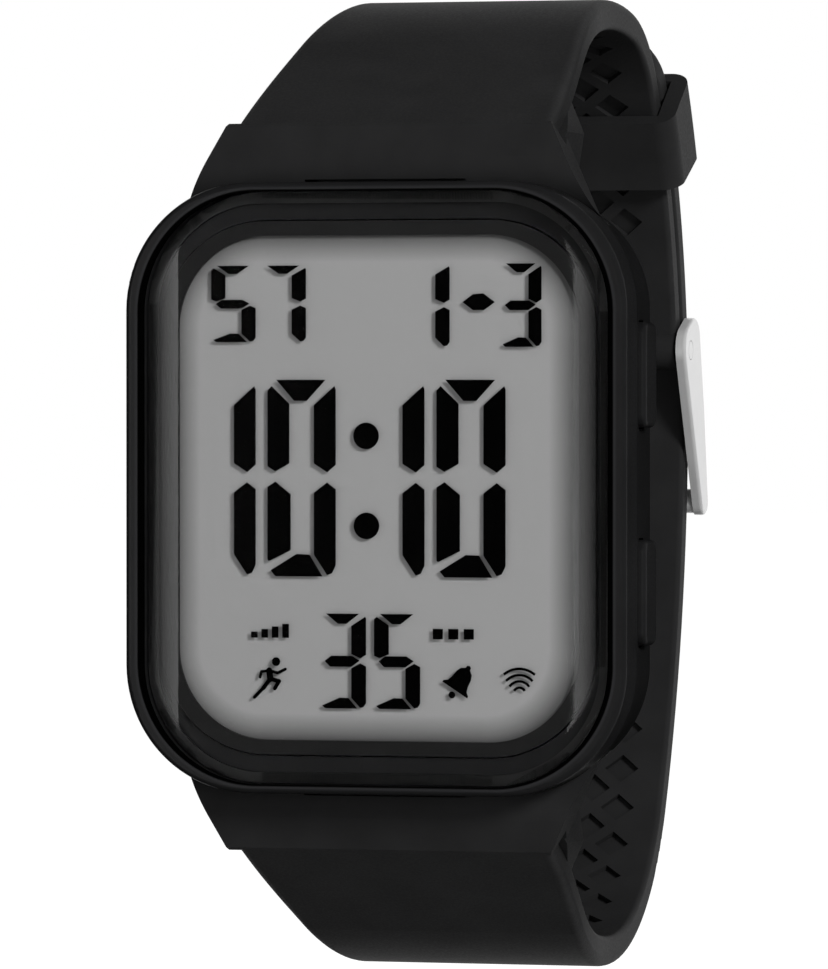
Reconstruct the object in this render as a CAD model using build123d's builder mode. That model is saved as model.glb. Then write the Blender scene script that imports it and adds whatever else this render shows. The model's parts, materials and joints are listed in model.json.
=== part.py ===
from build123d import *
import math
import os

os.makedirs("parts", exist_ok=True)

# A rectangular digital wristwatch with its silicone strap buckled into a loop, in millimetres.
# +Z points to 12 o'clock, the dial faces -Y and +X is the 3 o'clock side with the pushers.
# The origin is the middle of the case back's outer face. A height is a distance from that
# face towards the dial, so it lies along -Y.

# Sizes shared by all pieces
overrun = 1.0
wall_gap = 0.1
seat_gap = 0.05
swing_gap = 0.3

# Case
case_width = 39.0
case_length = 46.0
case_corner = 9.6
case_front = 11.8
case_waist = 8.4
case_rear = 0.3
case_rear_inset = 0.9
rim_round = 0.45
rear_round = 0.5

# Crystal and what lies under it
rim_side = 1.5
rim_end = 0.75
crystal_width = case_width - 2 * rim_side
crystal_length = case_length - 2 * rim_end
crystal_corner = 9.0
crystal_thickness = 1.7
crystal_proud = 0.55
crystal_edge = 1.3
gasket_thickness = 0.35
gasket_width = 0.8
ledge_side = 1.0
ledge_end = 2.05
display_width = crystal_width - 2 * ledge_side
display_length = crystal_length - 2 * ledge_end
display_corner = 8.2
display_floor = 7.1
border_side = 1.4
border_end = 1.2
window_width = display_width - 2 * border_side
window_length = display_length - 2 * border_end
window_corner = 7.0
mask_thickness = 0.25
panel_thickness = 1.3
panel_edge_round = 0.2
board_thickness = 0.7
strip_length_share = 0.5
strip_length = display_length * strip_length_share
strip_width = 0.8
strip_inset = 1.1
strip_place = display_length / 2 - strip_inset
spacer_rail = 1.1
spacer_opening_width = window_width + 2 * wall_gap
spacer_opening_length = 2 * (strip_place - spacer_rail)
spacer_opening_corner = 5.5
light_guide_thickness = 0.9
led_length = 2.4
led_width = 1.0
led_thickness = 0.7

# Movement holder and what it carries
module_inset_side = 0.7
module_inset_end = 1.5
module_corner_share = 0.32
module_width = display_width - 2 * module_inset_side
module_length = display_length - 2 * module_inset_end
module_corner = module_length * module_corner_share
holder_rear = 1.75
holder_web = 4.6
holder_web_thickness = 0.6
holder_wall = 1.3
cell_radius = 10.0
cell_cup_height = 2.1
cell_lid_radius = 8.7
cell_lid_height = 0.4
cell_inset = 12.2
cell_place = cell_inset - module_length / 2
cell_round = 0.3
clip_screw_inset = 1.3
clip_end = 1.2
clip_screw_place = cell_radius + clip_screw_inset
clip_length = 2 * (clip_screw_place + clip_end)
clip_width = 5.0
clip_thickness = 0.2
clip_screw_radius = 0.45
clip_screw_length = 2.6
clip_screw_head_radius = 0.85
clip_screw_head = 0.3
contact_gauge = 0.2
contact_width = 2.0
contact_reach = 3.0
chip_radius = 3.0
chip_height = 0.8
chip_side_share = -0.2
chip_inset = 8.7
chip_place_x = module_width * chip_side_share
chip_place_z = module_length / 2 - chip_inset
can_radius = 0.7
can_length = 6.0
can_side_share = 0.245
can_inset = 4.7
can_place_x = module_width * can_side_share
can_place_z = module_length / 2 - can_inset
capacitor_length = 1.6
capacitor_width = 0.8
capacitor_height = 0.6
capacitor_pitch = 2.4
capacitor_count = 4
capacitor_side_share = 0.276
capacitor_inset = 12.1
capacitor_place_x = module_width * capacitor_side_share
capacitor_place_z = module_length / 2 - capacitor_inset
buzzer_shift = 2.5
buzzer_place = cell_place + cell_radius + buzzer_shift
buzzer_radius = 4.8
buzzer_thickness = 0.2
ceramic_radius = 3.6
ceramic_thickness = 0.15
buzzer_spring_radius = 0.8
buzzer_spring_wire = 0.15
buzzer_spring_turns = 4
leaf_length = 3.6
leaf_gauge = 0.15
leaf_drop = 1.5

# Case back
back_rim_side = 1.7
back_rim_end = 2.7
back_width = case_width - 2 * back_rim_side
back_length = case_length - 2 * back_rim_end
back_corner = 8.4
back_thickness = 1.1
back_round = 0.3
back_gasket_depth = 0.4
back_gasket_width = 0.6
back_gasket_inset = 0.4
screw_inset_side = 3.7
screw_inset_end = 3.8
screw_place_x = back_width / 2 - screw_inset_side
screw_place_z = back_length / 2 - screw_inset_end
screw_radius = 0.6
screw_clearance = 0.15
screw_thread_gap = 0.02
screw_length = 3.6
screw_head_radius = 1.05
screw_head = 0.5
screw_head_depth = 0.6
screw_slot_width = 0.3
screw_slot_depth = 0.25

# Pushers
pusher_travel = 0.6
pusher_height = 6.0
pusher_upper_share = 0.185
pusher_lower_share = -0.17
pusher_upper_place = case_length * pusher_upper_share
pusher_lower_place = case_length * pusher_lower_share
pusher_proud = 0.55
pusher_face = case_width / 2 + pusher_proud
pusher_head = 1.55
pusher_length = 7.9
pusher_depth = 3.6
pusher_corner = 0.9
pusher_gap = 0.15
pusher_round = 0.35
pocket_sink = 1.8
pocket_floor = case_width / 2 - pocket_sink
stem_radius = 0.75
stem_gap = 0.05
stem_reach = 1.1
stem_end = module_width / 2 - stem_reach
stem_groove_radius = 0.5
spring_seat_depth = 0.4
spring_radius = 1.2
spring_wire = 0.14
spring_turns = 2.5
wire_sides = 6
ring_length = 0.3
ring_gap = 0.02
retainer_radius = 1.05
retainer_thickness = 0.25
retainer_slot = 0.9
retainer_gap = 0.5

# Lugs and spring bars
lug_height = 4.8
lug_overhang = 0.85
lug_reach = case_length / 2 + lug_overhang
lug_radius = 2.2
lug_width = 12.0
lug_root_overlap = 0.6
shoulder_radius = 3.8
strap_swing = 40.0
bar_radius = 0.9
bar_bore = 0.55
bar_length = 19.0
bar_gap = 0.05
tip_radius = 0.5
tip_reach = 11.2
tip_hold = 1.6
tip_flange_radius = 0.8
tip_flange = 0.3
bar_spring_radius = 0.48
bar_spring_bore = 0.3

# Strap
strap_thickness = 2.4
strap_heading = 26.8
strap_lift = 4.0
strap_back_width = 20.4
strap_front_place = -8.5
strap_middle_place = 0.8
strap_back_place = 22.5
strap_reach = 60.0
strap_edge_round = 0.8
strap_inner_round = 0.4
shoulder_lean = 17.0
shoulder_face = 2.5
shoulder_inset = 3.1
shoulder_taper = 3.65
shoulder_height = 3.5
shoulder_tail_inset = 1.2
shoulder_wide = case_width - 2 * shoulder_inset
shoulder_narrow = shoulder_wide - 2 * shoulder_taper
shoulder_narrow_place = lug_reach + shoulder_height
shoulder_end = shoulder_narrow - 2 * shoulder_tail_inset
strap_side_step = 0.3
strap_front_taper = 0.42
strap_front_width = shoulder_narrow - 2 * strap_side_step
strap_middle_width = strap_front_width - 2 * strap_front_taper
shoulder_wedge = 9.4
shoulder_lip = 0.5
shoulder_plate = 2.0
barrel_width = 26.0
shoulder_cover_share = 0.85
notch_gap = 0.3
notch_reach = 6.0
upper_bend_radius = 35.5
upper_bend_heading = -10.3
upper_corner_radius = 12.2
lower_bend_radius = 32.7
lower_bend_heading = 0.0
lower_corner_radius = 20.2
wrist_centre_y = 0.3
wrist_centre_z = 6.0
upper_back_radius = 45.5
lower_back_radius = 72.0
tail_gap = 0.2
tail_end_angle = 53.0
tail_corner = 6.0
hole_count_above = 2
hole_count_below = 5
hole_pitch = 6.6
hole_length = 4.8
hole_width = 2.7
hole_corner = 0.6
hole_place = -1.35
pocket_width = 2.8
pocket_length = 2.4
pocket_depth = 0.45
pocket_column = 2.2
pocket_row = 1.725
pocket_columns = 3
pocket_rows = {"upper": 28, "lower": 32}
pocket_plain_rows = {"upper": 28, "lower": 21}

# Buckle
hinge_angle = 6.0
knuckle_radius = 1.6
hinge_bar_radius = 0.75
hinge_bar_gap = 0.05
frame_gap = 0.25
frame_thickness = 0.85
frame_ear_radius = 1.9
frame_shoulder_shift = (1.75, 0.9)
frame_shoulder_radius = 1.75
frame_waist_shift = (3.0, -5.1)
frame_waist_radius = 2.0
frame_bar_drop = 12.4
frame_bar_radius = 1.0
frame_bar_gap = 0.2
frame_end_radius = 1.15
frame_round = 0.3
tongue_ring_radius = 1.4
tongue_width = 2.0
tongue_thickness = 1.0
tongue_slot_gap = 0.4
tongue_slot_length = 2.2
tongue_rest_gap = 0.05
tongue_shifts = ((0.35, -1.0), (1.0, -3.3), (5.3, -7.8))
tongue_tip_drop = 1.5
tongue_bend = 0.9
tongue_tip_round = 0.4

# Keeper
keeper_angle = 29.0
keeper_width = 6.6
keeper_gap = 0.2
keeper_band = 1.2
keeper_side = 1.4
keeper_corner = 1.6
keeper_round = 0.4

quarter_turn = 90.0
crystal_floor = case_front + crystal_proud - crystal_thickness
crystal_seat = crystal_floor - gasket_thickness
panel_front = crystal_floor - mask_thickness - 2 * seat_gap
panel_rear = panel_front - panel_thickness
board_rear = display_floor + seat_gap
board_front = board_rear + board_thickness
cell_front = holder_rear + cell_cup_height + cell_lid_height
back_lip = back_thickness + back_gasket_depth
pusher_places = {"upper": pusher_upper_place, "lower": pusher_lower_place}
sides = {"upper": 1, "lower": -1}


def facing(height):
    """A plane parallel to the dial at a height above the case back, seen from the dial."""
    return Plane.XZ.offset(height)


def write_piece(piece, name):
    """Labels a finished piece and writes it under the name of its node."""
    piece.part.label = name
    export_step(piece.part, f"parts/{name}.step")


def outward(heading):
    """The unit normal on the outer side of a strap that runs along a heading, in degrees."""
    return Vector(-math.sin(math.radians(heading)), math.cos(math.radians(heading)))


def along(angle):
    """The unit vector at an angle, in degrees."""
    return Vector(math.cos(math.radians(angle)), math.sin(math.radians(angle)))


# The case body is one moulding: a rim, a tapering wall, two round channels for the strap
# shoulders and a drilled lug in the middle of each channel.
with BuildPart() as case_body:
    with BuildSketch(facing(case_waist)):
        RectangleRounded(case_width, case_length, case_corner)
    extrude(amount=case_front - case_waist)
    fillet(case_body.faces().sort_by(Axis.Y)[0].edges(), rim_round)
    with BuildSketch(facing(case_waist)):
        RectangleRounded(case_width, case_length, case_corner)
    with BuildSketch(facing(case_rear)):
        RectangleRounded(
            case_width - 2 * case_rear_inset,
            case_length - 2 * case_rear_inset,
            case_corner - case_rear_inset,
        )
    loft()
    fillet(case_body.faces().sort_by(Axis.Y)[-1].edges(), rear_round)

    # Channels in which the strap shoulders turn
    with BuildSketch(Plane.YZ):
        with Locations((-lug_height, lug_reach), (-lug_height, -lug_reach)):
            Circle(shoulder_radius + swing_gap)
    extrude(amount=case_width / 2, both=True, mode=Mode.SUBTRACT)

    # Crystal seat, display space and movement space
    with BuildSketch(facing(crystal_seat)):
        RectangleRounded(
            crystal_width + 2 * wall_gap, crystal_length + 2 * wall_gap, crystal_corner + wall_gap
        )
    extrude(amount=case_front - crystal_seat + overrun, mode=Mode.SUBTRACT)
    with BuildSketch(facing(display_floor)):
        RectangleRounded(display_width, display_length, display_corner)
    extrude(amount=case_front - display_floor, mode=Mode.SUBTRACT)
    with BuildSketch(facing(display_floor)):
        RectangleRounded(module_width, module_length, module_corner)
    extrude(amount=-display_floor, mode=Mode.SUBTRACT)

    # Seat, gasket groove and screw holes for the case back
    with BuildSketch(facing(back_thickness)):
        RectangleRounded(
            back_width + 2 * wall_gap, back_length + 2 * wall_gap, back_corner + wall_gap
        )
    extrude(amount=-back_thickness, mode=Mode.SUBTRACT)
    with BuildSketch(facing(back_lip)):
        RectangleRounded(
            back_width - 2 * back_gasket_inset,
            back_length - 2 * back_gasket_inset,
            back_corner - back_gasket_inset,
        )
        RectangleRounded(
            back_width - 2 * (back_gasket_inset + back_gasket_width),
            back_length - 2 * (back_gasket_inset + back_gasket_width),
            back_corner - back_gasket_inset - back_gasket_width,
            mode=Mode.SUBTRACT,
        )
    extrude(amount=-back_gasket_depth, mode=Mode.SUBTRACT)
    with BuildSketch(facing(back_thickness)):
        with GridLocations(2 * screw_place_x, 2 * screw_place_z, 2, 2):
            Circle(screw_radius + screw_thread_gap)
    extrude(amount=screw_length, mode=Mode.SUBTRACT)

    # Pusher pockets, spring seats and stem bores through the 3 o'clock wall
    with BuildSketch(Plane.YZ.offset(pocket_floor)):
        with Locations(*[(-pusher_height, place) for place in pusher_places.values()]):
            RectangleRounded(
                pusher_depth + 2 * pusher_gap,
                pusher_length + 2 * pusher_gap,
                pusher_corner + pusher_gap,
            )
    extrude(amount=case_width / 2 - pocket_floor + overrun, mode=Mode.SUBTRACT)
    with BuildSketch(Plane.YZ.offset(pocket_floor - spring_seat_depth)):
        with Locations(*[(-pusher_height, place) for place in pusher_places.values()]):
            Circle(spring_radius + 2 * spring_wire + wall_gap)
    extrude(amount=spring_seat_depth, mode=Mode.SUBTRACT)
    with BuildSketch(Plane.YZ.offset(module_width / 2 - overrun)):
        with Locations(*[(-pusher_height, place) for place in pusher_places.values()]):
            Circle(stem_radius + stem_gap)
    extrude(amount=pocket_floor - module_width / 2 + overrun, mode=Mode.SUBTRACT)

    # Lugs in the middle of the channels, drilled for the spring bars
    with BuildSketch(Plane.YZ):
        with Locations((-lug_height, lug_reach), (-lug_height, -lug_reach)):
            Circle(lug_radius)
        lug_root = shoulder_radius + swing_gap + lug_root_overlap
        with Locations(
            (-lug_height, lug_reach - lug_root / 2), (-lug_height, lug_root / 2 - lug_reach)
        ):
            Rectangle(2 * lug_radius, lug_root)
    extrude(amount=lug_width / 2, both=True)
    with BuildSketch(Plane.YZ):
        with Locations((-lug_height, lug_reach), (-lug_height, -lug_reach)):
            Circle(bar_radius + bar_gap)
    extrude(amount=lug_width / 2, both=True, mode=Mode.SUBTRACT)
write_piece(case_body, "case_body")

# The crystal is a thick window whose edge rolls down to the rim.
with BuildPart() as crystal:
    with BuildSketch(facing(crystal_floor)):
        RectangleRounded(crystal_width, crystal_length, crystal_corner)
    extrude(amount=crystal_thickness)
    fillet(crystal.faces().sort_by(Axis.Y)[0].edges(), crystal_edge)
write_piece(crystal, "crystal")

with BuildPart() as crystal_gasket:
    with BuildSketch(facing(crystal_seat)):
        RectangleRounded(crystal_width, crystal_length, crystal_corner)
        RectangleRounded(
            crystal_width - 2 * gasket_width,
            crystal_length - 2 * gasket_width,
            crystal_corner - gasket_width,
            mode=Mode.SUBTRACT,
        )
    extrude(amount=gasket_thickness)
write_piece(crystal_gasket, "crystal_gasket")

with BuildPart() as display_mask:
    with BuildSketch(facing(panel_front + seat_gap)):
        RectangleRounded(
            display_width - 2 * wall_gap, display_length - 2 * wall_gap, display_corner - wall_gap
        )
        RectangleRounded(window_width, window_length, window_corner, mode=Mode.SUBTRACT)
    extrude(amount=mask_thickness)
write_piece(display_mask, "display_mask")

with BuildPart() as lcd_panel:
    with BuildSketch(facing(panel_rear)):
        RectangleRounded(
            display_width - 4 * wall_gap,
            display_length - 4 * wall_gap,
            display_corner - 2 * wall_gap,
        )
    extrude(amount=panel_thickness)
    fillet(lcd_panel.faces().sort_by(Axis.Y)[0].edges(), panel_edge_round)
write_piece(lcd_panel, "lcd_panel")

# The spacer keeps the panel off the board and holds the connector strips upright.
with BuildPart() as lcd_spacer:
    with BuildSketch(facing(board_front)):
        RectangleRounded(
            display_width - 4 * wall_gap,
            display_length - 4 * wall_gap,
            display_corner - 2 * wall_gap,
        )
        RectangleRounded(
            spacer_opening_width, spacer_opening_length, spacer_opening_corner, mode=Mode.SUBTRACT
        )
        with Locations((0, strip_place), (0, -strip_place)):
            Rectangle(
                strip_length + 2 * seat_gap, strip_width + 2 * seat_gap, mode=Mode.SUBTRACT
            )
    extrude(amount=panel_rear - board_front)
write_piece(lcd_spacer, "lcd_spacer")

for name, side in sides.items():
    with BuildPart() as connector_strip:
        with BuildSketch(facing(board_front)):
            with Locations((0, side * strip_place)):
                Rectangle(strip_length, strip_width)
        extrude(amount=panel_rear - board_front)
    write_piece(connector_strip, f"{name}_connector_strip")

led_place = spacer_opening_width / 2 - wall_gap - led_width / 2
with BuildPart() as light_guide:
    with BuildSketch(facing(panel_rear - seat_gap)):
        RectangleRounded(
            spacer_opening_width - 2 * wall_gap,
            spacer_opening_length - 2 * wall_gap,
            spacer_opening_corner - wall_gap,
        )
        with Locations((-led_place, 0)):
            Rectangle(
                led_width + 2 * wall_gap, led_length + 2 * wall_gap, mode=Mode.SUBTRACT
            )
    extrude(amount=-light_guide_thickness)
write_piece(light_guide, "light_guide")

with BuildPart() as backlight_led:
    with BuildSketch(facing(board_front)):
        with Locations((-led_place, 0)):
            Rectangle(led_width, led_length)
    extrude(amount=led_thickness)
write_piece(backlight_led, "backlight_led")

with BuildPart() as circuit_board:
    with BuildSketch(facing(board_rear)):
        RectangleRounded(
            display_width - 4 * wall_gap,
            display_length - 4 * wall_gap,
            display_corner - 2 * wall_gap,
        )
    extrude(amount=board_thickness)
write_piece(circuit_board, "circuit_board")

with BuildPart() as chip_cap:
    with BuildSketch(facing(board_rear)):
        with Locations((chip_place_x, chip_place_z)):
            Circle(chip_radius)
    extrude(amount=-chip_height)
    fillet(chip_cap.faces().sort_by(Axis.Y)[-1].edges(), chip_height / 2)
write_piece(chip_cap, "chip_cap")

with BuildPart() as quartz_can:
    with BuildSketch(Plane.YZ.offset(can_place_x - can_length / 2)):
        with Locations((-(board_rear - can_radius), can_place_z)):
            Circle(can_radius)
    extrude(amount=can_length)
    fillet(quartz_can.faces().sort_by(Axis.X)[-1].edges(), can_radius / 2)
write_piece(quartz_can, "quartz_can")

with BuildPart() as board_capacitors:
    with BuildSketch(facing(board_rear)):
        with Locations((capacitor_place_x, capacitor_place_z)):
            with GridLocations(capacitor_pitch, 0, capacitor_count, 1):
                Rectangle(capacitor_width, capacitor_length)
    extrude(amount=-capacitor_height)
write_piece(board_capacitors, "board_capacitors")

# The holder fills the movement space. Its rear pocket takes the coin cell, and its front
# pocket leaves room for the parts on the board.
holder_front = display_floor - seat_gap
holder_width = module_width - 2 * wall_gap
holder_length = module_length - 2 * wall_gap
with BuildPart() as movement_holder:
    with BuildSketch(facing(holder_rear)):
        RectangleRounded(holder_width, holder_length, module_corner - wall_gap)
    extrude(amount=holder_front - holder_rear)
    with BuildSketch(facing(holder_rear)):
        with Locations((0, cell_place)):
            Circle(cell_radius + wall_gap)
    extrude(amount=holder_web - holder_rear, mode=Mode.SUBTRACT)
    with BuildSketch(facing(holder_front)):
        RectangleRounded(
            holder_width - 2 * holder_wall,
            holder_length - 2 * holder_wall,
            module_corner - wall_gap - holder_wall,
        )
    extrude(amount=-(holder_front - holder_web - holder_web_thickness), mode=Mode.SUBTRACT)
    with BuildSketch(facing(holder_front)):
        with Locations((0, buzzer_place)):
            Circle(buzzer_spring_radius + 2 * buzzer_spring_wire + wall_gap)
        with Locations((0, cell_place)):
            Rectangle(contact_width + 2 * swing_gap, 2 * contact_reach)
    extrude(amount=-(holder_front - holder_rear), mode=Mode.SUBTRACT)
    with BuildSketch(facing(holder_rear)):
        with GridLocations(2 * clip_screw_place, 0, 2, 1):
            with Locations((0, cell_place)):
                Circle(clip_screw_radius + screw_thread_gap)
    extrude(amount=clip_screw_length, mode=Mode.SUBTRACT)
    with BuildSketch(Plane.YZ.offset(holder_width / 2 - holder_wall - overrun)):
        with Locations(*[(-pusher_height, place) for place in pusher_places.values()]):
            Rectangle(
                2 * (retainer_radius + swing_gap), 2 * (retainer_radius + leaf_length / 2)
            )
    extrude(amount=holder_wall + 2 * overrun, mode=Mode.SUBTRACT)
write_piece(movement_holder, "movement_holder")

with BuildPart() as coin_cell:
    with BuildSketch(facing(holder_rear)):
        with Locations((0, cell_place)):
            Circle(cell_radius)
    extrude(amount=cell_cup_height)
    fillet(coin_cell.faces().sort_by(Axis.Y)[-1].edges(), cell_round)
    with BuildSketch(facing(holder_rear + cell_cup_height)):
        with Locations((0, cell_place)):
            Circle(cell_lid_radius)
    extrude(amount=cell_lid_height)
write_piece(coin_cell, "coin_cell")

with BuildPart() as battery_clip:
    with BuildSketch(facing(holder_rear)):
        with Locations((0, cell_place)):
            RectangleRounded(clip_length, clip_width, clip_width / 4)
        with GridLocations(2 * clip_screw_place, 0, 2, 1):
            with Locations((0, cell_place)):
                Circle(clip_screw_radius + seat_gap, mode=Mode.SUBTRACT)
    extrude(amount=-clip_thickness)
write_piece(battery_clip, "battery_clip")

with BuildPart() as battery_clip_screws:
    with BuildSketch(facing(holder_rear - clip_thickness)):
        with GridLocations(2 * clip_screw_place, 0, 2, 1):
            with Locations((0, cell_place)):
                Circle(clip_screw_head_radius)
    extrude(amount=-clip_screw_head)
    with BuildSketch(facing(holder_rear - clip_thickness)):
        with GridLocations(2 * clip_screw_place, 0, 2, 1):
            with Locations((0, cell_place)):
                Circle(clip_screw_radius)
    extrude(amount=clip_screw_length - wall_gap)
write_piece(battery_clip_screws, "battery_clip_screws")

# A bent leaf presses on the negative side of the cell.
with BuildPart() as battery_contact:
    with BuildSketch(Plane.YZ):
        foot = board_rear - contact_gauge / 2
        pad = cell_front + contact_gauge / 2
        with BuildLine():
            Polyline(
                (-foot, cell_place + contact_reach - swing_gap),
                (-foot, cell_place + contact_reach / 3),
                (-pad, cell_place - contact_reach / 3),
                (-pad, cell_place - contact_reach + swing_gap),
            )
        trace(line_width=contact_gauge)
    extrude(amount=contact_width / 2, both=True)
write_piece(battery_contact, "battery_contact")

# Each switch contact is a leaf on the board's edge that a pusher stem presses.
leaf_place = stem_end - pusher_travel - swing_gap - leaf_gauge
for name, place in pusher_places.items():
    with BuildPart() as switch_contact:
        with BuildSketch(facing(board_rear)):
            with Locations((leaf_place, place)):
                Rectangle(leaf_gauge, leaf_length)
        extrude(amount=-(board_rear - pusher_height + leaf_drop / 2))
    write_piece(switch_contact, f"{name}_switch_contact")

# The case back closes the case on a gasket and four screws.
with BuildPart() as case_back:
    with BuildSketch(facing(0)):
        RectangleRounded(back_width, back_length, back_corner)
    extrude(amount=back_thickness)
    fillet(case_back.faces().sort_by(Axis.Y)[-1].edges(), back_round)
    with BuildSketch(facing(0)):
        with GridLocations(2 * screw_place_x, 2 * screw_place_z, 2, 2):
            Circle(screw_head_radius + wall_gap)
    extrude(amount=screw_head_depth, mode=Mode.SUBTRACT)
    with BuildSketch(facing(0)):
        with GridLocations(2 * screw_place_x, 2 * screw_place_z, 2, 2):
            Circle(screw_radius + screw_clearance)
    extrude(amount=back_thickness, mode=Mode.SUBTRACT)
write_piece(case_back, "case_back")

with BuildPart() as case_back_screws:
    with BuildSketch(facing(screw_head_depth)):
        with GridLocations(2 * screw_place_x, 2 * screw_place_z, 2, 2):
            Circle(screw_head_radius)
    extrude(amount=-screw_head)
    with BuildSketch(facing(screw_head_depth)):
        with GridLocations(2 * screw_place_x, 2 * screw_place_z, 2, 2):
            Circle(screw_radius)
    extrude(amount=screw_length)
    with BuildSketch(facing(screw_head_depth - screw_head)):
        with GridLocations(2 * screw_place_x, 2 * screw_place_z, 2, 2):
            Rectangle(2 * screw_head_radius, screw_slot_width)
    extrude(amount=screw_slot_depth, mode=Mode.SUBTRACT)
write_piece(case_back_screws, "case_back_screws")

with BuildPart() as case_back_gasket:
    with BuildSketch(facing(back_thickness)):
        RectangleRounded(
            back_width - 2 * (back_gasket_inset + seat_gap),
            back_length - 2 * (back_gasket_inset + seat_gap),
            back_corner - back_gasket_inset - seat_gap,
        )
        RectangleRounded(
            back_width - 2 * (back_gasket_inset + back_gasket_width - seat_gap),
            back_length - 2 * (back_gasket_inset + back_gasket_width - seat_gap),
            back_corner - back_gasket_inset - back_gasket_width + seat_gap,
            mode=Mode.SUBTRACT,
        )
    extrude(amount=back_gasket_depth)
write_piece(case_back_gasket, "case_back_gasket")

with BuildPart() as buzzer_plate:
    with BuildSketch(facing(back_thickness)):
        with Locations((0, buzzer_place)):
            Circle(buzzer_radius)
    extrude(amount=buzzer_thickness)
write_piece(buzzer_plate, "buzzer_plate")

with BuildPart() as buzzer_ceramic:
    with BuildSketch(facing(back_thickness + buzzer_thickness)):
        with Locations((0, buzzer_place)):
            Circle(ceramic_radius)
    extrude(amount=ceramic_thickness)
write_piece(buzzer_ceramic, "buzzer_ceramic")


def coil(start, direction, length, radius, wire, turns):
    """A wire coil between two points on one axis, with its wire inside that length."""
    climb = length - 2 * wire
    with BuildPart() as spring:
        with BuildLine() as rail:
            Helix(
                climb / turns, climb, radius, center=start + direction * wire, direction=direction
            )
        with BuildSketch(rail.line ^ 0):
            RegularPolygon(wire, wire_sides)
        sweep()
    return spring


for name, place in pusher_places.items():
    # The pusher is a bar-shaped head on a round stem with grooves for its ring and retainer.
    with BuildPart() as pusher:
        with BuildSketch(Plane.YZ.offset(pusher_face - pusher_head)):
            with Locations((-pusher_height, place)):
                RectangleRounded(pusher_depth, pusher_length, pusher_corner)
        extrude(amount=pusher_head)
        fillet(pusher.faces().sort_by(Axis.X)[-1].edges(), pusher_round)
        with BuildSketch(Plane.YZ.offset(stem_end)):
            with Locations((-pusher_height, place)):
                Circle(stem_radius)
        extrude(amount=pusher_face - pusher_head - stem_end)
        ring_place = pocket_floor - spring_seat_depth - ring_length - wall_gap
        retainer_place = module_width / 2 - retainer_gap - retainer_thickness
        for groove_place, groove in ((ring_place, ring_length), (retainer_place, retainer_thickness)):
            with BuildSketch(Plane.YZ.offset(groove_place)):
                with Locations((-pusher_height, place)):
                    Circle(stem_radius)
                    Circle(stem_groove_radius, mode=Mode.SUBTRACT)
            extrude(amount=groove, mode=Mode.SUBTRACT)
    write_piece(pusher, f"{name}_pusher")

    with BuildPart() as pusher_ring:
        with BuildSketch(Plane.YZ.offset(ring_place)):
            with Locations((-pusher_height, place)):
                Circle(stem_radius + stem_gap - ring_gap)
                Circle(stem_groove_radius, mode=Mode.SUBTRACT)
        extrude(amount=ring_length)
    write_piece(pusher_ring, f"{name}_pusher_ring")

    with BuildPart() as pusher_retainer:
        with BuildSketch(Plane.YZ.offset(retainer_place)):
            with Locations((-pusher_height, place)):
                Circle(retainer_radius)
                Circle(stem_groove_radius, mode=Mode.SUBTRACT)
            with Locations((-pusher_height + retainer_radius, place)):
                Rectangle(2 * retainer_radius, retainer_slot, mode=Mode.SUBTRACT)
        extrude(amount=retainer_thickness)
    write_piece(pusher_retainer, f"{name}_pusher_retainer")

    pusher_spring = coil(
        Vector(pocket_floor - spring_seat_depth, -pusher_height, place),
        Vector(1, 0, 0),
        pusher_face - pusher_head - pocket_floor + spring_seat_depth,
        spring_radius,
        spring_wire,
        spring_turns,
    )
    write_piece(pusher_spring, f"{name}_pusher_spring")

buzzer_spring = coil(
    Vector(0, -(back_thickness + buzzer_thickness + ceramic_thickness), buzzer_place),
    Vector(0, -1, 0),
    board_rear - back_thickness - buzzer_thickness - ceramic_thickness,
    buzzer_spring_radius,
    buzzer_spring_wire,
    buzzer_spring_turns,
)
write_piece(buzzer_spring, "buzzer_spring")

# Spring bars hold the strap in the lugs: a tube, a sprung tip at each end and the spring.
for name, side in sides.items():
    with BuildPart() as bar_tube:
        with BuildSketch(Plane.YZ):
            with Locations((-lug_height, side * lug_reach)):
                Circle(bar_radius)
                Circle(bar_bore, mode=Mode.SUBTRACT)
        extrude(amount=bar_length / 2, both=True)
    write_piece(bar_tube, f"{name}_bar_tube")

    with BuildPart() as bar_tips:
        with BuildSketch(Plane.YZ):
            with Locations((-lug_height, side * lug_reach)):
                Circle(tip_radius)
        extrude(amount=tip_reach, both=True)
        with BuildSketch(Plane.YZ):
            with Locations((-lug_height, side * lug_reach)):
                Circle(tip_flange_radius)
        extrude(amount=bar_length / 2 + tip_flange, both=True)
        with BuildSketch(Plane.YZ):
            with Locations((-lug_height, side * lug_reach)):
                Circle(tip_flange_radius)
                Circle(tip_radius, mode=Mode.SUBTRACT)
        extrude(amount=bar_length / 2, both=True, mode=Mode.SUBTRACT)
        with BuildSketch(Plane.YZ):
            with Locations((-lug_height, side * lug_reach)):
                Circle(tip_flange_radius)
        extrude(amount=bar_length / 2 - tip_hold, both=True, mode=Mode.SUBTRACT)
    write_piece(bar_tips, f"{name}_bar_tips")

    with BuildPart() as bar_spring:
        with BuildSketch(Plane.YZ):
            with Locations((-lug_height, side * lug_reach)):
                Circle(bar_spring_radius)
                Circle(bar_spring_bore, mode=Mode.SUBTRACT)
        extrude(amount=bar_length / 2 - tip_hold, both=True)
    write_piece(bar_spring, f"{name}_bar_spring")

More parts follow.
